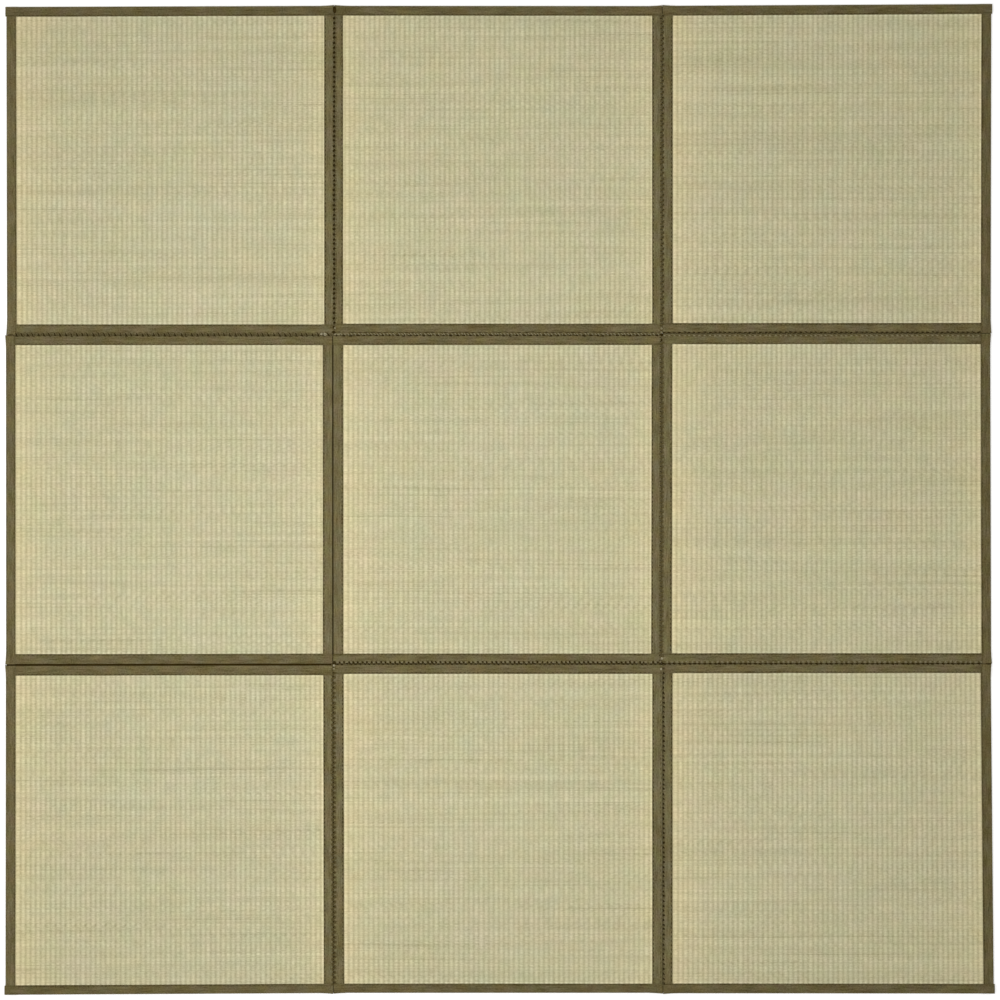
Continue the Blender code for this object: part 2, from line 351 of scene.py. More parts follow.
class Panel:
    """One panel: where its corners lie, and how wide the tape shows along each side."""

    def __init__(self, row, column):
        self.row = row
        self.column = column
        self.name = f"r{row}c{column}"
        self.rush_node = f"rush_{self.name}"
        board = cad_points(self.rush_node)
        self.skin = board[:, 2].min()
        self.rush_top = board[:, 2].max()
        self.top = self.rush_top + self.skin
        self.corner = {}
        for right in (0, 1):
            for back in (0, 1):
                way = np.array([2 * right - 1, 2 * back - 1])
                furthest = board[np.argmax(board[:, :2] @ way), :2]
                self.corner[right, back] = furthest + way * self.skin
        self.width = np.linalg.norm(self.corner[1, 0] - self.corner[0, 0])
        self.depth = np.linalg.norm(self.corner[0, 1] - self.corner[0, 0])
        self.face = {side: self.tape_width(side) for side in SIDES}

    def tape_node(self, side):
        return f"binding_{self.name}_{side}"

    def edge(self, side):
        """The two ends of one outer edge, from near to far or from left to right."""
        ends = {
            "left": ((0, 0), (0, 1)),
            "right": ((1, 0), (1, 1)),
            "near": ((0, 0), (1, 0)),
            "far": ((0, 1), (1, 1)),
        }[side]
        return self.corner[ends[0]], self.corner[ends[1]]

    def tape_width(self, side):
        start, end = self.edge(side)
        along = (end - start) / np.linalg.norm(end - start)
        away = cad_points(self.tape_node(side))[:, :2] - start
        return np.abs(away[:, 0] * along[1] - away[:, 1] * along[0]).max()

    def length(self, side):
        return self.depth if side in ("left", "right") else self.width

    def at(self, across, back):
        """Places on the mat, for places on the panel given as arrays."""
        a = np.asarray(across)[..., None] / self.width
        b = np.asarray(back)[..., None] / self.depth
        near = self.corner[0, 0] * (1 - a) + self.corner[1, 0] * a
        far = self.corner[0, 1] * (1 - a) + self.corner[1, 1] * a
        return near * (1 - b) + far * b

    def on_side(self, side, along, inward):
        """Places on the mat, by how far along a side of the panel and inward from it."""
        along = np.asarray(along, float)
        inward = np.asarray(inward, float)
        if side == "left":
            return self.at(inward, along)
        if side == "right":
            return self.at(self.width - inward, along)
        if side == "far":
            return self.at(along, self.depth - inward)
        return self.at(along, inward)

    def is_outer(self, side):
        return {
            "left": self.column == 1,
            "right": self.column == COLUMNS,
            "far": self.row == 1,
            "near": self.row == ROWS,
        }[side]

    def lies_over(self, side, neighbour):
        """Whether the strip along a side laps over its neighbour's end, as part of the build."""
        crossways = side in ("far", "near")
        runs_across, runs_back = (side, neighbour) if crossways else (neighbour, side)
        across_is_over = self.is_outer(runs_across) or not self.is_outer(runs_back)
        return across_is_over if crossways else not across_is_over


def seam_beside(panel, side):
    """The name of the seam along a side of a panel."""
    if side in ("left", "right"):
        return f"v{panel.column - (side == 'left')}r{panel.row}"
    return f"h{panel.row - (side == 'far')}c{panel.column}"


def gap_beside(panel, side):
    """How wide the seam along a side is, at the side's near or left end and at its other end."""
    if panel.is_outer(side):
        return np.zeros(2)
    rows, columns, opposite = {
        "left": (0, -1, "right"),
        "right": (0, 1, "left"),
        "far": (-1, 0, "near"),
        "near": (1, 0, "far"),
    }[side]
    own = np.array(panel.edge(side))
    other = np.array(panels[panel.row + rows, panel.column + columns].edge(opposite))
    axis = 0 if columns else 1
    return np.abs(other[:, axis] - own[:, axis])


def eased(value, low, high):
    """Rises smoothly from 0 at one value to 1 at the other."""
    share = np.clip((value - low) / (high - low), 0, 1)
    return share * share * (3 - 2 * share)


def smooth_noise(positions, length, seed):
    """A smooth random wave of about unit height, whose bumps are about that length apart."""
    draws = np.random.default_rng(seed)
    knots = int(np.ceil((positions.max() - positions.min()) / length)) + 4
    heights = draws.normal(0.0, 0.6, knots)
    place = (positions - positions.min()) / length + 1
    index = np.floor(place).astype(int)
    share = eased(place - index, 0, 1)
    return heights[index] * (1 - share) + heights[index + 1] * share


def facing_out(data):
    """Turns a closed mesh's faces outwards."""
    mesh = bmesh.new()
    mesh.from_mesh(data)
    bmesh.ops.recalc_face_normals(mesh, faces=mesh.faces[:])
    mesh.to_mesh(data)
    mesh.free()


def new_mesh(name, points, faces, smooth_degrees=40.0, **uv_maps):
    """A mesh object from points and faces, with UV maps that hold one place for each point."""
    data = bpy.data.meshes.new(name)
    data.from_pydata([tuple(p) for p in points], [], faces)
    corners = np.zeros(len(data.loops), np.int32)
    data.loops.foreach_get("vertex_index", corners)
    for uv_name, uv in uv_maps.items():
        layer = data.uv_layers.new(name=uv_name)
        layer.data.foreach_set("uv", np.asarray(uv, np.float32)[corners].ravel())
    facing_out(data)
    data.shade_smooth()
    data.set_sharp_from_angle(angle=math.radians(smooth_degrees))
    made = bpy.data.objects.new(name, data)
    bpy.context.scene.collection.objects.link(made)
    return made


# Shader nodes


class Shader:
    """A material under construction, with short ways to add its nodes."""

    def __init__(self, name):
        self.material = bpy.data.materials.new(name)
        self.material.use_nodes = True
        self.tree = self.material.node_tree
        self.surface = self.tree.nodes["Principled BSDF"]

    def put(self, value, socket):
        """Links a node's output to a socket, or sets the socket to a number or colour."""
        if isinstance(value, bpy.types.NodeSocket):
            self.tree.links.new(value, socket)
        else:
            socket.default_value = value

    def maths(self, operation, *values):
        node = self.tree.nodes.new("ShaderNodeMath")
        node.operation = operation
        for value, socket in zip(values, node.inputs):
            self.put(value, socket)
        return node.outputs[0]

    def uv(self, name):
        node = self.tree.nodes.new("ShaderNodeUVMap")
        node.uv_map = name
        split = self.tree.nodes.new("ShaderNodeSeparateXYZ")
        self.tree.links.new(node.outputs["UV"], split.inputs[0])
        return split.outputs["X"], split.outputs["Y"]

    def times(self, first, second):
        return self.maths("MULTIPLY", first, second)

    def noise(self, name, first, second, *moved):
        """The smooth noise of one row of NOISES, from -0.5 to 0.5, read at a place."""
        along_first, along_second, plane = NOISES[name]
        place = self.tree.nodes.new("ShaderNodeCombineXYZ")
        self.put(self.times(first, along_first), place.inputs[0])
        self.put(self.times(second, along_second), place.inputs[1])
        self.put(self.total(plane, *moved), place.inputs[2])
        node = self.tree.nodes.new("ShaderNodeTexNoise")
        node.inputs["Scale"].default_value = 1.0
        node.inputs["Detail"].default_value = NOISE_DETAIL.get(name, 0.0)
        if name == "rush_broad":
            node.inputs["Roughness"].default_value = BROAD_ROUGHNESS
        self.tree.links.new(place.outputs[0], node.inputs["Vector"])
        return self.maths("SUBTRACT", node.outputs["Fac"], 0.5)

    def tint(self, share, colour, low, high):
        """Multiplies a colour by one tint at a share of -0.5 and by the other at 0.5."""
        return self.mix(1.0, colour, self.mix(self.total(0.5, share), low, high), "MULTIPLY")

    def finish(self, colour, roughness, specular, height):
        """Sets the surface's colour, gloss and relief, and gives back the material."""
        self.put(colour, self.surface.inputs["Base Color"])
        self.surface.inputs["Roughness"].default_value = roughness
        self.surface.inputs["Specular IOR Level"].default_value = specular
        self.bump(height)
        return self.material

    def total(self, *terms):
        """The sum of numbers and of (output, weight) pairs."""
        result = None
        for term in terms:
            if isinstance(term, tuple):
                term = self.times(term[0], term[1])
            result = term if result is None else self.maths("ADD", result, term)
        return result

    def weighed(self, weights, **parts):
        """A base and parts, each as much as its weight in a table says."""
        terms = [(part, weights[name]) for name, part in parts.items()]
        return self.total(weights["base"], *terms)

    def band(self, value, low, high):
        """Rises smoothly from 0 at one value to 1 at the other."""
        node = self.tree.nodes.new("ShaderNodeMapRange")
        node.interpolation_type = "SMOOTHSTEP"
        self.put(value, node.inputs["Value"])
        node.inputs["From Min"].default_value = low
        node.inputs["From Max"].default_value = high
        return node.outputs["Result"]

    def mix(self, share, first, second, blend="MIX"):
        node = self.tree.nodes.new("ShaderNodeMix")
        node.data_type = "RGBA"
        node.blend_type = blend
        self.put(share, node.inputs["Factor"])
        self.put(first, node.inputs[MIX_COLOUR_A])
        self.put(second, node.inputs[MIX_COLOUR_B])
        return node.outputs[MIX_COLOUR_RESULT]

    def bump(self, height):
        """Raises the surface by a height in metres."""
        node = self.tree.nodes.new("ShaderNodeBump")
        node.inputs["Distance"].default_value = 1.0
        self.put(height, node.inputs["Height"])
        self.tree.links.new(node.outputs["Normal"], self.surface.inputs["Normal"])


def linear(red, green, blue):
    """A colour as the screen shows it, from 0 to 255, as the light that it stands for."""
    shares = np.array([red, green, blue]) / 255
    low = shares / 12.92
    high = ((shares + 0.055) / 1.055) ** 2.4
    return (*np.where(shares <= 0.04045, low, high), 1.0)


def rush_material():
    """Woven rush: strands across, over and under the ridges, each with its own tone, with painted
    shade in the valleys and a painted highlight along the field's edges.
    """
    s = Shader("rush_weave")
    across, back = s.uv("weave")
    from_left, from_right = s.uv("field")
    from_near, from_far = s.uv("ends")
    column = s.maths("DIVIDE", across, RUSH_PITCH)
    number = s.maths("FLOOR", column)
    parity = s.maths("FLOORED_MODULO", number, 2.0)
    between = s.maths("FLOOR", s.maths("ADD", column, 0.5))
    valley_parity = s.maths("FLOORED_MODULO", between, 2.0)
    turn = s.times(column, 2 * math.pi)
    ridge = s.total(0.5, (s.maths("COSINE", turn), -0.5))
    valley = s.total(1.0, (ridge, -1.0))
    flat_top = s.maths("COSINE", s.times(turn, 2.0))

    wander = s.noise("rush_wander", across, back)
    counted = s.total(s.maths("DIVIDE", back, RUSH_WIDTH), (parity, 0.5), (wander, OWN_WANDER))
    strand = s.maths("FLOOR", counted)
    strand_turn = s.times(counted, 2 * math.pi)
    bead = s.total(0.5, (s.maths("COSINE", strand_turn), -0.5))
    shared_count = s.total(s.maths("DIVIDE", back, SHARED_WIDTH), (wander, SHARED_WANDER))
    shared_strand = s.maths("FLOOR", shared_count)

    own = s.noise("rush_own", across, strand, (parity, OWN_PLANE_STEP))
    strand_tone = s.weighed(
        STRAND_TONES,
        own=own,
        shared=s.noise("rush_shared", across, shared_strand),
        cell=s.noise("rush_cell", number, back),
    )
    shows = s.total(STRANDS_SHOW["in_valley"], (ridge, STRANDS_SHOW["on_ridge"]))
    in_valley = s.noise("rush_valley", across, strand, (valley_parity, VALLEY_PLANE_STEP))
    # The ridge tone darkens the valleys: partly the rush's own tone, partly painted shade
    tone = s.weighed(
        RUSH_TONES,
        ridge=ridge,
        flat_top=flat_top,
        column=s.noise("rush_column", number, COLUMN_TONE_LINE),
        strands=s.times(shows, strand_tone),
        swell=s.times(ridge, s.noise("rush_swell", across, back)),
        valley=s.times(valley, in_valley),
        streak=s.noise("rush_streak", number, back),
        broad=s.noise("rush_broad", across, back),
        grain=s.noise("rush_grain", across, back),
        bead=bead,
        stray=s.band(s.noise("rush_stray", across, shared_strand), *STRAY_RANGE),
    )
    dark, light = RUSH_COLOURS
    colour = s.mix(tone, linear(*dark), linear(*light))
    red = (s.noise("rush_red", across, back), RUSH_HUES["red"])
    slow_red = (s.noise("rush_slow_red", across, back), RUSH_HUES["slow_red"])
    colour = s.tint(s.total(red, slow_red), colour, RUSH_GREEN, RUSH_RED)
    blue = (s.noise("rush_blue", across, back), RUSH_HUES["blue"])
    slow_blue = (s.noise("rush_slow_blue", across, back), RUSH_HUES["slow_blue"])
    colour = s.tint(s.total(blue, slow_blue), colour, RUSH_YELLOW, RUSH_BLUE)

    left_glow = s.maths("EXPONENT", s.times(from_left, -1 / LEFT_GLOW_REACH))
    colour = s.mix(left_glow, colour, s.mix(1.0, colour, WARM_EDGE, "MULTIPLY"))
    right_glow = s.maths("EXPONENT", s.times(from_right, -1 / RIGHT_GLOW_REACH))
    colour = s.mix(right_glow, colour, s.mix(1.0, colour, PALE_EDGE, "MULTIPLY"))
    # A painted highlight on the rush along the field's edges, next to the tape
    nearest_side = s.maths("MINIMUM", from_left, from_right)
    nearest = s.maths("MINIMUM", nearest_side, s.maths("MINIMUM", from_near, from_far))
    inside = s.band(nearest, *PAINTED_HIGHLIGHT_RANGE)
    colour = s.mix(inside, s.mix(1.0, colour, PAINTED_RIM_HIGHLIGHT, "MULTIPLY"), colour)
    relief = s.total((bead, BEAD_RELIEF), (ridge, RIDGE_RELIEF), (own, OWN_RELIEF))
    return s.finish(colour, RUSH_ROUGHNESS, RUSH_SPECULAR, relief)


def tape_material(cloth):
    """Plain-woven cotton tape, with painted shade along the stitch row and deep in a seam."""
    s = Shader(f"tape_cloth_{cloth}")
    along, across = s.uv("weave")
    warp = s.maths("SINE", s.times(along, 2 * math.pi / THREAD_PITCH))
    weft = s.maths("SINE", s.times(across, 2 * math.pi / THREAD_PITCH))
    check = s.times(warp, weft)
    slub = s.noise("tape_slub", along, across)
    fleck = s.noise("tape_fleck", along, across)
    # Painted shade of the stitch row's groove
    before_row = s.band(across, STITCH_INSET, STITCH_INSET - BEFORE_ROW)
    past_row = s.band(across, STITCH_INSET, STITCH_INSET + PAST_ROW)
    tone = s.weighed(
        TAPE_TONES,
        off_row=s.maths("MAXIMUM", before_row, past_row),
        check=check,
        slub=slub,
        fleck=fleck,
        patch=s.noise("tape_patch", along, across),
    )
    dark, light = TAPE_COLOURS[cloth]
    colour = s.mix(tone, linear(*dark), linear(*light))
    red = (s.noise("tape_red", along, across), TAPE_HUES["red"])
    colour = s.tint(red, colour, TAPE_GREEN, TAPE_BROWN)
    blue = (s.noise("tape_blue", along, across), TAPE_HUES["blue"])
    colour = s.tint(blue, colour, TAPE_YELLOW, TAPE_DULL)
    # Painted shade on the fold's wall: full in the open slits, in part in sewn seams and on the mat's
    # outer edges
    height, shade = s.uv("height")
    deep = s.times(shade, s.band(height, *PAINTED_SHADE_HEIGHTS))
    colour = s.mix(deep, colour, s.mix(1.0, colour, PAINTED_FOLD_SHADE, "MULTIPLY"))
    relief = s.total((check, CHECK_RELIEF), (slub, SLUB_RELIEF), (fleck, FLECK_RELIEF))
    return s.finish(colour, TAPE_ROUGHNESS, CLOTH_SPECULAR, relief)


def thread_material(name, dark, light):
    """Twisted sewing thread."""
    s = Shader(name)
    along, around = s.uv("weave")
    ply = s.maths("SINE", s.total((along, 2 * math.pi / PLY_PITCH), (around, 2 * math.pi)))
    tone = s.weighed(THREAD_TONES, ply=ply, fuzz=s.noise("thread_fuzz", along, around))
    colour = s.mix(tone, linear(*dark), linear(*light))
    return s.finish(colour, THREAD_ROUGHNESS, CLOTH_SPECULAR, s.total((ply, PLY_RELIEF)))


# The woven rush


def grid_lines(low, high, first, last, step):
    """Places from one edge of a board to the other: even between first and last, none beyond."""
    count = max(2, round((last - first) / step))
    return np.concatenate([[low], np.linspace(first, last, count + 1), [high]])


def ridge_height(across):
    """The weave's ridges, as a share from 0 in a valley to 1 on a crest."""
    return (0.5 - 0.5 * np.cos(2 * np.pi * across / RUSH_PITCH)) ** RIDGE_FULLNESS


def weave_heights(panel, across, back):
    """How far each point of the weave stands above or below the board's flat top."""
    ridges = ridge_height(across)
    heights = np.zeros((len(back), len(across)))
    for number in np.unique(np.floor(across / RUSH_PITCH).astype(int)):
        members = np.floor(across / RUSH_PITCH).astype(int) == number
        stagger = back + (number % 2) * UNEVEN_LENGTH / 2
        seed = 1000 * panel.row + 100 * panel.column + number + RIDGE_SEED
        uneven = smooth_noise(stagger, UNEVEN_LENGTH / 2, seed)
        heights[:, members] = uneven[:, None] * UNEVEN_DEPTH * ridges[members][None, :]
    heights += RIDGE_CREST - VALLEY_DEPTH * (1 - ridges)[None, :]
    return np.minimum(heights, panel.skin - UNDER_SKIN)


def rush_panel(panel):
    """The woven board: a relief of ridges on both faces, closed round its edge."""
    inset = panel.skin + BOARD_CHAMFER
    ridge_step = RUSH_PITCH / POINTS_A_RIDGE
    first = math.ceil((panel.face["left"] - UNDER_TAPE) / ridge_step) * ridge_step
    last = math.floor((panel.width - panel.face["right"] + UNDER_TAPE) / ridge_step) * ridge_step
    across = grid_lines(inset, panel.width - inset, first, last, ridge_step)
    near = panel.face["near"] - UNDER_TAPE
    far = panel.depth - panel.face["far"] + UNDER_TAPE
    back = grid_lines(inset, panel.depth - inset, near, far, ROW_STEP)
    heights = weave_heights(panel, across, back)
    shown = np.ones((len(back), len(across)))
    shown[:, [0, -1]] = 0
    shown[[0, -1], :] = 0
    flat = panel.at(*np.meshgrid(across, back))
    top = np.concatenate([flat, (panel.rush_top + heights * shown)[..., None]], -1)

    kept = sorted({0, len(back) - 1, *range(1, len(back) - 1, UNDERSIDE_EVERY)})
    low = panel.skin - heights[kept] * shown[kept]
    under = np.concatenate([flat[kept], low[..., None]], -1)
    points = np.concatenate([top.reshape(-1, 3), under.reshape(-1, 3)])
    wide = len(across)
    start = len(back) * wide
    faces = []
    for j in range(len(back) - 1):
        for i in range(wide - 1):
            a = j * wide + i
            faces.append((a, a + 1, a + 1 + wide, a + wide))
    for j in range(len(kept) - 1):
        for i in range(wide - 1):
            a = start + j * wide + i
            faces.append((a, a + wide, a + 1 + wide, a + 1))
        rows = range(kept[j], kept[j + 1] + 1)
        low_left = start + j * wide
        left = [r * wide for r in rows]
        right = [r * wide + wide - 1 for r in rows]
        faces.append((low_left, *left, low_left + wide))
        faces.append((low_left + wide - 1, low_left + 2 * wide - 1, *right[::-1]))
    under_far = start + (len(kept) - 1) * wide
    top_far = (len(back) - 1) * wide
    for i in range(wide - 1):
        faces.append((i, start + i, start + i + 1, i + 1))
        faces.append((top_far + i, top_far + i + 1, under_far + i + 1, under_far + i))
    u, v = np.meshgrid(across, back)
    weave = np.stack([u, v + PANEL_SHIFT * (COLUMNS * panel.row + panel.column)], -1)
    field = np.stack([u - panel.face["left"], panel.width - panel.face["right"] - u], -1)
    ends = np.stack([v - panel.face["near"], panel.depth - panel.face["far"] - v], -1)
    maps = {
        key: np.concatenate([uv.reshape(-1, 2), uv[kept].reshape(-1, 2)])
        for key, uv in (("weave", weave), ("field", field), ("ends", ends))
    }
    made = new_mesh(f"rush_weave_{panel.name}", points, faces, **maps)
    made.data.materials.append(RUSH)
    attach(made, "root")
    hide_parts(panel.rush_node)
    tapes = [panel.tape_node(side) for side in SIDES]
    return made


# The cloth tape


def quarter(centre_height, start):
    """A quarter turn of the folded edge, from 0 for straight up or 1 for outwards."""
    turns = (start + np.arange(1, FOLD_STEPS) / FOLD_STEPS) * math.pi / 2
    return [
        (FOLD_RADIUS - FOLD_RADIUS * math.sin(turn), centre_height + FOLD_RADIUS * math.cos(turn), 0.0)
        for turn in turns
    ]


def tape_outside(face, top):
    """The outside of the tape, from its inner edge on top, round the fold, to the one below.

    Each point is how far inward it is, how high, and how much the cloth gives there.
    """
    stitch = face - STITCH_INSET
    groove = stitch - STITCH_DIP_WIDTH
    points = [
        (face, top - CLOTH_THICKNESS / 2, 0.0),
        (face - 0.3 * EDGE_ROUNDING, top - 0.3 * EDGE_ROUNDING, 0.0),
        (face - EDGE_ROUNDING, top, 0.2),
        (stitch + STITCH_DIP_WIDTH, top - 0.2 * STITCH_DIP, 0.2),
        (stitch, top - STITCH_DIP, 0.0),
        (groove, top - 0.2 * STITCH_DIP, 0.2),
    ]
    for share in TAPE_CROWN_AT:
        bulge = math.sin(math.pi * share)
        points.append((groove - share * (groove - FOLD_RADIUS), top + TAPE_CROWN * bulge, bulge))
    points.append((FOLD_RADIUS, top, 0.0))
    points += quarter(top - FOLD_RADIUS, 0)
    points += [(0.0, top - FOLD_RADIUS, 0.0), (0.0, SLIT_PARTS[1], 0.0), (0.0, FOLD_RADIUS, 0.0)]
    points += quarter(FOLD_RADIUS, 1)
    points += [(FOLD_RADIUS, 0.0, 0.0), (face - EDGE_ROUNDING, 0.0, 0.0)]
    points.append((face, CLOTH_THICKNESS / 2, 0.0))
    return np.array(points)


def tape_inside(face, top):
    """The inside of the tape, from its edge below back to its edge on top."""
    low = CLOTH_THICKNESS
    high = top - CLOTH_THICKNESS
    corner = low + (FOLD_RADIUS - low) * (1 - math.sqrt(0.5))
    places = [
        (face, low),
        (FOLD_RADIUS, low),
        (corner, corner),
        (low, FOLD_RADIUS),
        (low, top - FOLD_RADIUS),
        (corner, top - corner),
        (FOLD_RADIUS, high),
        (face / 2, high),
        (face, high),
    ]
    return np.array([(inward, height, 0.0) for inward, height in places])


def length_along(points):
    """How far along a line each of its points is."""
    steps = np.linalg.norm(np.diff(points, axis=0), axis=1)
    return np.concatenate([[0.0], np.cumsum(steps)])


def end_cap(outside, inside):
    """Triangles that close the tape's end, between its outside and its inside."""
    out_share = length_along(outside[:, :2])
    out_share /= out_share[-1]
    in_share = length_along(inside[::-1, :2])
    in_share /= in_share[-1]
    faces = []
    i = 0
    j = 0
    while i < len(outside) - 1 or j < len(inside) - 1:
        within = len(outside) + len(inside) - 1 - j
        outside_is_next = i < len(outside) - 1 and (
            j == len(inside) - 1 or out_share[i + 1] <= in_share[j + 1]
        )
        if outside_is_next:
            faces.append((i, i + 1, within))
            i += 1
        else:
            faces.append((i, within - 1, within))
            j += 1
    return faces


def end_stations(panel, side, neighbour, outline):
    """The strip's sections near one end, as how far back, how much lifted and flared."""
    over = panel.lies_over(side, neighbour)
    at_mat_corner = panel.is_outer(side) and panel.is_outer(neighbour)
    crossing_gap = gap_beside(panel, neighbour)[1 if side in ("far", "right") else 0]
    overhang = CORNER_OVERHANG if at_mat_corner else 0.0
    upper = outline[:, 1] > panel.top - FOLD_RADIUS + ROUNDING_ERROR
    below = outline[:, 0] + MITRE_GAP - crossing_gap / 2
    cut = np.where(upper, -overhang if over else TUCKED_BACK, below)
    if not over:
        reach = max(panel.face.values()) + LAP_MARGIN
        return [(cut, 0.0, 0.0), (cut / 2 + reach / 2, 0.0, 0.0), (cut * 0 + reach, 0.0, 0.0)]
    at_seam_end = panel.is_outer(side) and not panel.is_outer(neighbour)
    flare = SEAM_END_FLARE if at_seam_end else 0.0
    reach = max(panel.face[side], panel.face[neighbour]) + LAP_MARGIN
    stations = []
    for share, lift, push in LAP_SHAPE:
        stations.append((cut * (1 - share) + reach * share, lift * LAP_LIFT, push * flare))
    for share, lift in LAP_RAMP_SHAPE:
        stations.append((cut * 0 + reach + share * LAP_RAMP, lift * LAP_LIFT, 0.0))
    return stations


def strip_stations(panel, side, outline):
    """Every section of the strip, with even ones between those at its two ends."""
    start, end = ("near", "far") if side in ("left", "right") else ("left", "right")
    first = end_stations(panel, side, start, outline)
    last = end_stations(panel, side, end, outline)
    length = panel.length(side)
    low = first[-1][0].max()
    high = length - last[-1][0].max()
    count = round((high - low) / TAPE_STEP)
    middle = np.linspace(low, high, count + 1)[1:-1]
    stations = first + [(place + outline[:, 0] * 0, 0.0, 0.0) for place in middle]
    return stations + [(length - back, lift, flare) for back, lift, flare in reversed(last)]


def cloth_of(panel, side):
    """Which of the four tape cloths a strip is cut from."""
    if panel.is_outer(side):
        return "left" if side == "left" else "outer"
    return "back" if side in ("left", "right") else "across"


def tape_strip(panel, side, seed):
    """One strip of cloth tape, folded round one edge of the panel."""
    outside = tape_outside(panel.face[side], panel.top)
    inside = tape_inside(panel.face[side], panel.top)
    outline = np.concatenate([outside, inside])
    unfolded = length_along(outline[:, :2])
    stations = strip_stations(panel, side, outline)
    middles = np.array([along.mean() for along, _, _ in stations])
    pucker = smooth_noise(middles, PUCKER_LENGTH, seed) * PUCKER_HEIGHT
    wobble = smooth_noise(middles, WOBBLE_LENGTH, seed + 1) * WOBBLE
    is_slit = seam_beside(panel, side) in OPEN_SEAMS
    open_below, open_above = SLIT_PARTS if is_slit else SEAM_PARTS
    shade = 1.0 if is_slit else SEAM_SHADE
    closed = (1 - eased(outline[:, 1], open_below, open_above)) * (outline[:, 0] < FOLD_RADIUS)
    gap_start, gap_end = gap_beside(panel, side)
    upper = outline[:, 1] > panel.top / 2
    by_rush = outline[:, 0] > panel.face[side] / 2
    points = []
    uv = []
    heights = []
    for k, (along, lift, flare) in enumerate(stations):
        share = np.clip(along / panel.length(side), 0, 1)
        gap = gap_start * (1 - share) + gap_end * share
        bulge = (gap / 2 + OVERLAP) * (gap > 0) * closed + flare * (outline[:, 0] < FOLD_RADIUS)
        inward = outline[:, 0] - bulge + wobble[k] * (upper & by_rush)
        height = outline[:, 1] + lift * upper + pucker[k] * outline[:, 2]
        place = panel.on_side(side, along, inward)
        points.append(np.concatenate([place, height[:, None]], 1))
        uv.append(np.stack([along + seed, unfolded], 1))
        # Above and below alike, the shade goes by how near the fold's middle height a place is
        from_middle = np.maximum(height, panel.top - height)
        heights.append(np.stack([from_middle, np.full(len(height), shade)], 1))
    count = len(outline)
    faces = []
    for k in range(len(stations) - 1):
        for i in range(count):
            j = (i + 1) % count
            a = k * count
            faces.append((a + i, a + j, a + count + j, a + count + i))
    last = (len(stations) - 1) * count
    for triangle in end_cap(outside, inside):
        faces.append(triangle)
        faces.append(tuple(last + corner for corner in triangle))
    maps = {"weave": np.concatenate(uv), "height": np.concatenate(heights)}
    made = new_mesh(f"tape_{panel.name}_{side}", np.concatenate(points), faces, **maps)
    made.data.materials.append(TAPES[cloth_of(panel, side)])
    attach(made, "root")
    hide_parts(panel.tape_node(side))
    flat = (float(length_along(outside[:, :2])[-1]), panel.length(side))
    return made


# Sewing


class Threads:
    """Many short threads gathered into one mesh."""

    def __init__(self):
        self.points = []
        self.faces = []
        self.uv = []
        self.count = 0

    def add(self, path, wide, thick, sides):
        """A thread along a path, with a half width and half thickness at each of its points."""
        path = np.asarray(path, float)
        ahead = np.gradient(path, axis=0)
        ahead /= np.linalg.norm(ahead, axis=1, keepdims=True)
        sideways = np.cross(np.array([0.0, 0.0, 1.0]), ahead)
        sideways /= np.maximum(np.linalg.norm(sideways, axis=1, keepdims=True), 1e-9)
        upwards = np.cross(ahead, sideways)
        turns = 2 * math.pi * np.arange(sides) / sides
        rings = (
            path[:, None, :]
            + np.cos(turns)[None, :, None] * sideways[:, None, :] * np.reshape(wide, (-1, 1, 1))
            + np.sin(turns)[None, :, None] * upwards[:, None, :] * np.reshape(thick, (-1, 1, 1))
        )
        start = self.count
        self.points.append(rings.reshape(-1, 3))
        along = length_along(path)[:, None] + self.count * MM
        uv = np.stack(np.broadcast_arrays(along, np.arange(sides)[None, :] / sides), -1)
        self.uv.append(uv.reshape(-1, 2))
        for k in range(len(path) - 1):
            for i in range(sides):
                j = (i + 1) % sides
                a = start + k * sides
                self.faces.append((a + i, a + j, a + sides + j, a + sides + i))
        self.faces.append(tuple(start + i for i in range(sides)))
        last = start + (len(path) - 1) * sides
        self.faces.append(tuple(last + i for i in range(sides)))
        self.count += len(path) * sides

    def make(self, name, material):
        points = np.concatenate(self.points)
        made = new_mesh(name, points, self.faces, 180.0, weave=np.concatenate(self.uv))
        made.data.materials.append(material)
        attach(made, "root")
        return made


def edge_stitches(panel, seed):
    """The row of stitches along the inner edge of each strip of one panel, in a dark thread that also
    stands in for the painted shade of the needle holes.
    """
    draws = np.random.default_rng(seed)
    threads = Threads()
    for side in SIDES:
        face = panel.face[side]
        inward = face - STITCH_INSET
        radius = THREAD_RADIUS * EDGE_THREAD_SHARES[cloth_of(panel, side)] * STITCH_TAPER
        low = face + STITCH_PITCH * EDGE_STITCH_START
        high = panel.length(side) - low
        count = round((high - low) / STITCH_PITCH)
        for number in range(count):
            even = low + (number + 0.5) * (high - low) / count
            middle = even + draws.normal(0, EDGE_STITCH_STRAY)
            half = STITCH_LENGTH / 2 * draws.uniform(*EDGE_STITCH_LENGTHS)
            drift = draws.normal(0, EDGE_STITCH_DRIFT)
            along = middle + half * EDGE_STITCH_SHAPE
            place = panel.on_side(side, along, np.full(len(along), inward + drift))
            height = panel.top - STITCH_DIP + EDGE_STITCH_RISE + EDGE_STITCH_SINK
            path = np.concatenate([place, height[:, None]], 1)
            thick = EDGE_THREAD_FLATNESS * THREAD_RADIUS * STITCH_TAPER
            threads.add(path, radius, thick, THREAD_SIDES)
    return threads.make(f"edge_stitches_{panel.name}", EDGE_THREAD_WITH_HOLE_SHADE)


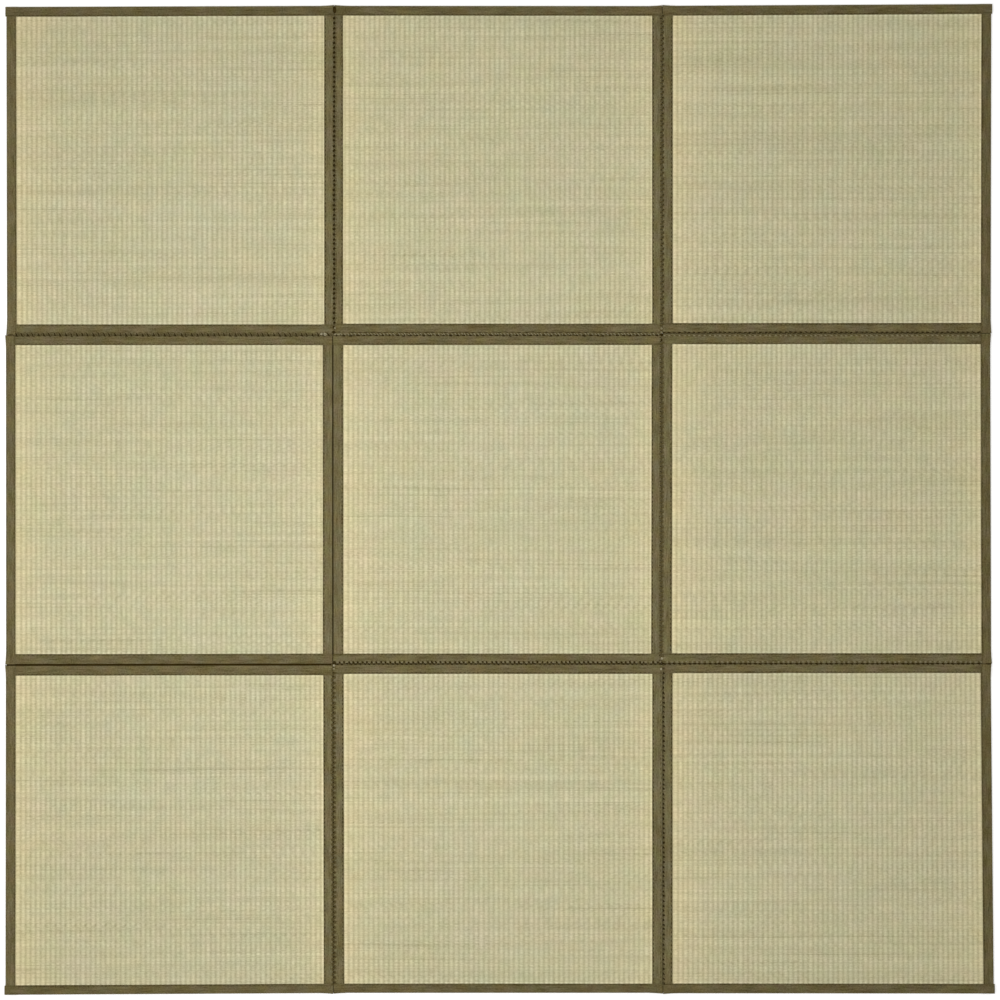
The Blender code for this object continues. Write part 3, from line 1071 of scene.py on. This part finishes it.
class Seam:
    """The line where two panels meet, with places measured along and across it."""

    def __init__(self, first, first_side, second, second_side):
        a0, a1 = first.edge(first_side)
        b0, b1 = second.edge(second_side)
        self.start = (a0 + b0) / 2
        self.end = (a1 + b1) / 2
        self.length = float(np.linalg.norm(self.end - self.start))
        self.ahead = (self.end - self.start) / self.length
        self.across = np.array([self.ahead[1], -self.ahead[0]])
        self.top = first.top

        at_mat_edge = {
            "right": (first.row == ROWS, first.row == 1),
            "near": (first.column == 1, first.column == COLUMNS),
        }[first_side]
        clear = [SEWN_FROM_MAT_EDGE if outer else SEWN_FROM_CROSSING for outer in at_mat_edge]
        self.sewn = (clear[0], self.length - clear[1])
        runs_back = first_side == "right"
        tape_widths = [first.face["far"], first.face["near"]]
        self.lap_reach = np.mean(tape_widths) if runs_back else SEAM_LAP_REACH
        self.lap_ramp = EDGE_ROUNDING if runs_back else LAP_RAMP

    def lift(self, along):
        """How much higher the sewing lies than the panels' tops, where it runs over a lap."""
        from_end = np.minimum(along, self.length - along)
        return LAP_LIFT * (1 - eased(from_end, self.lap_reach, self.lap_reach + self.lap_ramp))

    def at(self, along, across, height):
        along = np.asarray(along, float)[:, None]
        across = np.asarray(across, float)[:, None]
        place = self.start + along * self.ahead + across * self.across
        return np.concatenate([place, np.asarray(height, float)[:, None]], 1)


def joining_stitches(name, seam, seed):
    """The stitches that sew two panels together, as one piece for each thread they use."""
    draws = np.random.default_rng(seed)
    pitch, *rows = SEAM_STITCHES_MM[name]
    pitch *= MM
    low, high = seam.sewn
    count = round((high - low) / pitch)
    even = low + (np.arange(count) + STITCH_START) * (high - low) / count
    starts = even + draws.normal(0, PITCH_SCATTER, count) * pitch
    gathered = {}
    for phase, along_0, across_0, along_1, across_1, half_width, thread in rows:
        threads = gathered.setdefault(thread, Threads())
        begin = np.array([along_0, across_0]) * MM
        end = np.array([along_1, across_1]) * MM
        sideways = np.array([begin[1] - end[1], end[0] - begin[0]])
        sideways /= np.linalg.norm(sideways)
        spread = (half_width * MM - STRAND_RADIUS) * sideways
        for start in starts + phase * pitch:
            scatter = draws.normal(0, STITCH_SCATTER, (2, 2))
            for offset in np.linspace(-1, 1, round(half_width * MM / STRAND_SPACING)):
                first = begin + scatter[0] + offset * spread
                last = end + scatter[1] + offset * spread
                way = first + (last - first) * STITCH_SHARES[:, None]
                sag = SEAM_SAG * np.exp(-((way[:, 1] / SEAM_SAG_WIDTH) ** 2))
                along = start + way[:, 0]
                path = seam.at(along, way[:, 1], seam.top + seam.lift(along) + STITCH_ARCH - sag)
                radius = STRAND_RADIUS * STITCH_TAPER * draws.uniform(*STRAND_THICKNESSES)
                threads.add(path, radius, radius, THREAD_SIDES)
    for thread, threads in gathered.items():
        threads.make(f"joining_stitches_{name}_{thread}", SEAM_THREADS[thread])


def knot(threads, place, size, top, seed):
    """A small knot of thread: a few curling turns over one another."""
    draws = np.random.default_rng(seed)
    turns = np.linspace(0, 2 * math.pi * KNOT_TURNS, KNOT_POINTS)
    lean = draws.uniform(0, math.pi)
    mean, swing, beat = KNOT_WAVE
    radius = 0.5 * (mean + swing * np.cos(turns * beat + lean)) * draws.uniform(*KNOT_SIZES)
    x = place[0] + size[0] * radius * np.cos(turns + lean)
    y = place[1] + size[1] * radius * np.sin(turns + lean)
    lowest, swing, beat = KNOT_LIFT
    z = top + lowest + swing * (1 + np.sin(turns * beat))
    path = np.stack([x, y, z], 1)
    path[0, 2] = top - KNOT_END_SINK
    path[-1, 2] = top - KNOT_END_SINK
    threads.add(path, KNOT_THREAD_RADIUS, KNOT_THREAD_RADIUS, KNOT_THREAD_SIDES)


def make_knots(lap_top):
    """The knots where seams cross, and the threads along the ends of some seams, which also stand in
    for painted shade in the grooves there.
    """
    gathered = {}
    for number, (x, y, wide, deep, thread) in enumerate(KNOTS_MM):
        threads = gathered.setdefault(thread, Threads())
        knot(threads, (x * MM, y * MM), (wide * MM, deep * MM), lap_top, KNOT_SEED + number)
    # Threads at some seam ends, which also stand in for painted shade in the groove between the outer
    # strips
    for x_0, y_0, x_1, y_1, radius, thread in END_THREADS_MM:
        threads = gathered.setdefault(thread, Threads())
        first = np.array([x_0 * MM, y_0 * MM, lap_top])
        last = np.array([x_1 * MM, y_1 * MM, lap_top])
        path = first + (last - first) * STITCH_SHARES[:, None]
        path[:, 2] += STITCH_ARCH - END_THREAD_SINK
        threads.add(path, radius * MM * STITCH_TAPER, radius * MM * STITCH_TAPER, KNOT_THREAD_SIDES)
    for thread, threads in gathered.items():
        threads.make(f"knots_{thread}", SEAM_THREADS[thread])


# The setting


def make_floor():
    half = FLOOR_SIZE / 2
    corners = ((-half, -half), (half, -half), (half, half), (-half, half))
    points = [(x, y, FLOOR_HEIGHT) for x, y in corners]
    floor = new_mesh("floor", points, [(0, 1, 2, 3)])
    s = Shader("pale_floor")
    surface = s.surface
    surface.inputs["Base Color"].default_value = FLOOR_COLOUR
    surface.inputs["Roughness"].default_value = FLOOR_ROUGHNESS
    surface.inputs["Specular IOR Level"].default_value = FLOOR_SPECULAR
    surface.inputs["Emission Color"].default_value = WHITE
    surface.inputs["Emission Strength"].default_value = FLOOR_GLOW
    floor.data.materials.append(s.material)


def make_light():
    world = bpy.data.worlds.new("studio")
    bpy.context.scene.world = world
    world.use_nodes = True
    sky = world.node_tree.nodes["Background"]
    sky.inputs["Color"].default_value = WHITE
    sky.inputs["Strength"].default_value = SKY_STRENGTH
    lamp = bpy.data.lights.new("key", "AREA")
    lamp.shape = "DISK"
    lamp.size = LAMP_SIZE
    lamp.energy = LAMP_WATTS
    holder = bpy.data.objects.new("key", lamp)
    bpy.context.scene.collection.objects.link(holder)
    holder.location = LAMP_PLACE
    aim = Vector(LAMP_AIM) - Vector(LAMP_PLACE)
    holder.rotation_euler = aim.to_track_quat("-Z", "Y").to_euler()
    holder.visible_camera = False


def make_camera():
    data = bpy.data.cameras.new("camera")
    data.lens = CAMERA_LENS_MM
    data.sensor_width = CAMERA_SENSOR_MM
    camera = bpy.data.objects.new("camera", data)
    bpy.context.scene.collection.objects.link(camera)
    half_width = METRES_PER_PIXEL * PICTURE_PIXELS / 2
    away = half_width / (CAMERA_SENSOR_MM / 2 / CAMERA_LENS_MM)
    camera.location = (*PICTURE_MIDDLE, SHARP_HEIGHT + away)
    bpy.context.scene.camera = camera


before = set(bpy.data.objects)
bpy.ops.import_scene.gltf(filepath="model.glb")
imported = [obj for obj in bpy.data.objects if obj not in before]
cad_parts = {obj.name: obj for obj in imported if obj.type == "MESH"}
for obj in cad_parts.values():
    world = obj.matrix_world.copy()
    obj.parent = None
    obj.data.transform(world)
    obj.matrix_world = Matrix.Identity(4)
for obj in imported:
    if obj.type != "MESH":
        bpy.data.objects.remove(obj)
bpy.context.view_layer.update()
make_camera()
make_floor()
make_light()
bpy.context.scene.view_settings.view_transform = "Standard"

RUSH = rush_material()
TAPES = {cloth: tape_material(cloth) for cloth in TAPE_COLOURS}
# A dark thread that also stands in for the painted shade of the needle holes
EDGE_THREAD_WITH_HOLE_SHADE = thread_material("edge_thread_with_hole_shade", *EDGE_THREAD_HOLE_SHADE_COLOURS)
SEAM_THREADS = {
    thread: thread_material(f"seam_thread_{thread}", *colours)
    for thread, colours in SEAM_THREAD_COLOURS.items()
}

panels = {}
for row in range(1, ROWS + 1):
    for column in range(1, COLUMNS + 1):
        panels[row, column] = Panel(row, column)
for (row, column), panel in panels.items():
    rush_panel(panel)
    for number, side in enumerate(SIDES):
        tape_strip(panel, side, 40 * row + 10 * column + 2 * number)
    edge_stitches(panel, EDGE_SEED + 10 * row + column)

for name in SEAM_STITCHES_MM:
    number = int(name[1])
    place = int(name[3])
    seed = 10 * number + place
    if name[0] == "v":
        seam = Seam(panels[place, number], "right", panels[place, number + 1], "left")
        joining_stitches(name, seam, BACK_SEAM_SEED + seed)
    else:
        seam = Seam(panels[number, place], "near", panels[number + 1, place], "far")
        joining_stitches(name, seam, ACROSS_SEAM_SEED + seed)
make_knots(panels[1, 1].top + LAP_LIFT)
